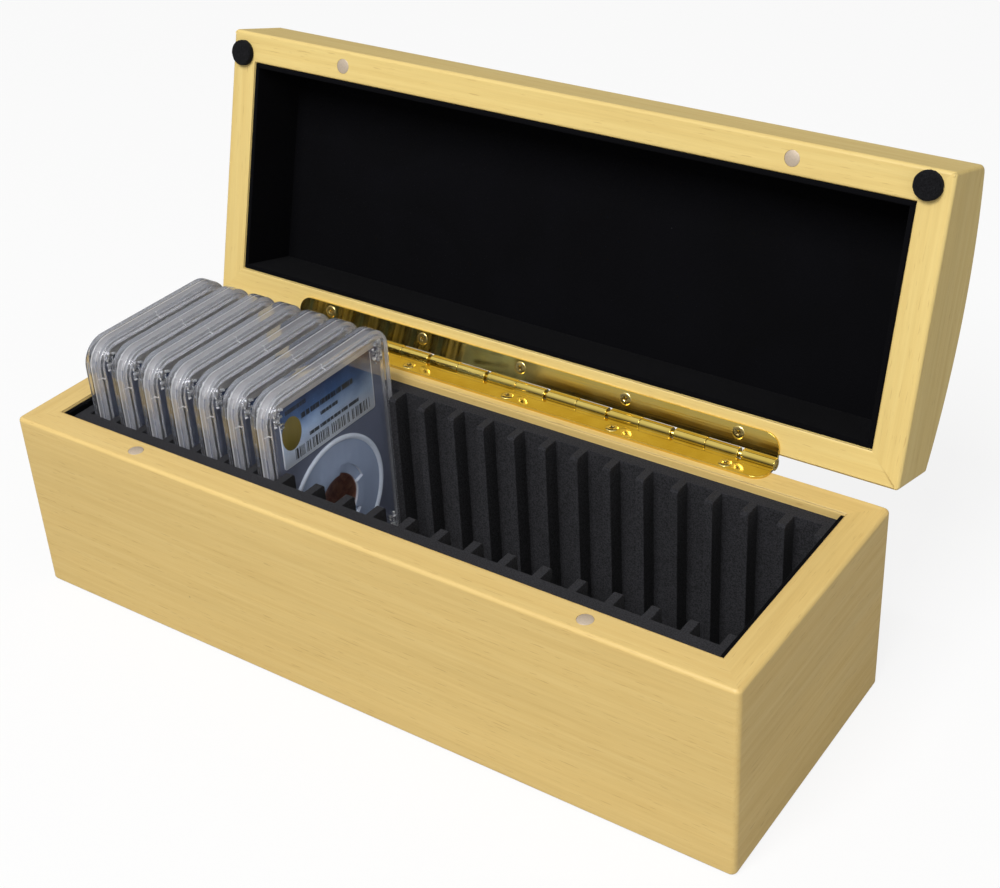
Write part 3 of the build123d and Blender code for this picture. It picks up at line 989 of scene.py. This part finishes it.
def coin_holders():
    """The seven holders: one of each piece is made, and the others show the same meshes."""
    random.seed(7)
    front, back = shell_pieces()
    core = core_piece()
    coin = piece("look_coin", coin_shape(), copper())
    label = eased_label()
    label.data.materials.append(label_paper())
    upright = {
        "front_shell": (front, "clear_shell", 0.28 * MM),
        "back_shell": (back, "clear_shell", 0.28 * MM),
        "core": (core, "core_plastic", 0.04 * MM),
        "coin": (coin, "copper", 0),
        "label": (label, "paper", 0),
    }
    for number in range(1, HOLDER_COUNT + 1):
        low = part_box(f"holder_{number}_back_shell")[0]
        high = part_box(f"holder_{number}_front_shell")[1]
        centre = (low + high) / 2
        for part, (first, slot, edge_width) in upright.items():
            made = first if number == 1 else from_mesh(f"{first.name}_{number}", first.data)
            made.location = centre
            if part == "coin":
                made.rotation_euler = (0, math.pi / 2, 0)
                made.location = centre + Vector((0, 0, COIN_Z))
            if edge_width:
                soften(made, edge_width)
            settle(made, f"holder_{number}_{part}")


# ---------------------------------------------------------------- stage, lights and camera

def floor():
    """A pale floor that the camera sees as white, with a soft shadow."""
    half = 3.0
    drop = 0.1 * MM
    lit = (0.38, 0.38, 0.38, 1)
    shown = (0.86, 0.86, 0.86, 1)
    shape = bmesh.new()
    corners = [(-half, -half), (half, -half), (half, half), (-half, half)]
    shape.faces.new([shape.verts.new((x, y, -drop)) for x, y in corners])
    surface = Surface("floor", roughness=0.9, specular_ior_level=0.1)
    seen = surface.add("LightPath", {}, output="Is Camera Ray")
    surface.put("Base Color", surface.mix(seen, lit, shown))
    glow = surface.add("Emission", {"Color": (1, 1, 1, 1), "Strength": 1.0})
    share = surface.product(seen, 0.85)
    mixed = surface.add("MixShader", {0: share, 1: surface.shader.outputs[0], 2: glow})
    surface.feed(surface.tree.nodes["Material Output"], "Surface", mixed)
    made = piece("floor", shape, surface.material)


def surroundings():
    """White for what the camera and glass see, greyer in reflections and softer as light."""
    world = bpy.data.worlds.new("studio")
    bpy.context.scene.world = world
    world.use_nodes = True
    tree = world.node_tree
    tree.nodes.clear()
    rays = tree.nodes.new("ShaderNodeLightPath")

    def background(strength):
        node = tree.nodes.new("ShaderNodeBackground")
        node.inputs["Color"].default_value = (1, 1, 1, 1)
        node.inputs["Strength"].default_value = strength
        return node.outputs[0]

    def room():
        """Dim at the level of the object and bright overhead, as a studio is."""
        place = tree.nodes.new("ShaderNodeTexCoord")
        parts = tree.nodes.new("ShaderNodeSeparateXYZ")
        height = tree.nodes.new("ShaderNodeValToRGB")
        node = tree.nodes.new("ShaderNodeBackground")
        for element, (position, level) in zip(height.color_ramp.elements, ((0.02, 0.04), (0.75, 0.85))):
            element.position = position
            element.color = (level, level, level, 1)
        tree.links.new(place.outputs["Generated"], parts.inputs[0])
        tree.links.new(parts.outputs["Z"], height.inputs[0])
        tree.links.new(height.outputs[0], node.inputs["Color"])
        return node.outputs[0]

    def blend(ray, otherwise, seen):
        node = tree.nodes.new("ShaderNodeMixShader")
        tree.links.new(rays.outputs[ray], node.inputs[0])
        tree.links.new(otherwise, node.inputs[1])
        tree.links.new(seen, node.inputs[2])
        return node.outputs[0]

    light = blend("Is Glossy Ray", background(0.3), room())
    light = blend("Is Transmission Ray", light, background(1.0))
    light = blend("Is Camera Ray", light, background(1.0))
    output = tree.nodes.new("ShaderNodeOutputWorld")
    tree.links.new(light, output.inputs["Surface"])


def softbox(name, place, size, power):
    """A square area light that faces the object."""
    target = Vector((0, 0, 0.08))
    lamp = bpy.data.lights.new(name, "AREA")
    lamp.energy = power
    lamp.size = size
    made = bpy.data.objects.new(name, lamp)
    made.location = place
    made.rotation_euler = (target - Vector(place)).to_track_quat("-Z", "Y").to_euler()
    bpy.context.scene.collection.objects.link(made)


def camera():
    """The photograph's point of view."""
    lens = bpy.data.cameras.new("camera")
    lens.sensor_width = 36.0
    lens.lens = 60.4
    lens.shift_x = -0.053
    lens.shift_y = -0.0453
    made = bpy.data.objects.new("camera", lens)
    made.location = (0.28247, -0.34423, 0.35138)
    made.rotation_euler = [math.radians(angle) for angle in (59.18, 1.948, 33.06)]
    bpy.context.scene.collection.objects.link(made)
    bpy.context.scene.camera = made


wooden_panels()
soft_linings()
magnet_discs()
felt_bumpers()
hinge()
coin_holders()
floor()
surroundings()
softbox("key", place=(0.05, -1.7, 2.15), size=1.3, power=67)
softbox("fill", place=(1.8, -0.6, 0.5), size=1.0, power=4.6)
camera()
bpy.context.scene.view_settings.view_transform = "Standard"
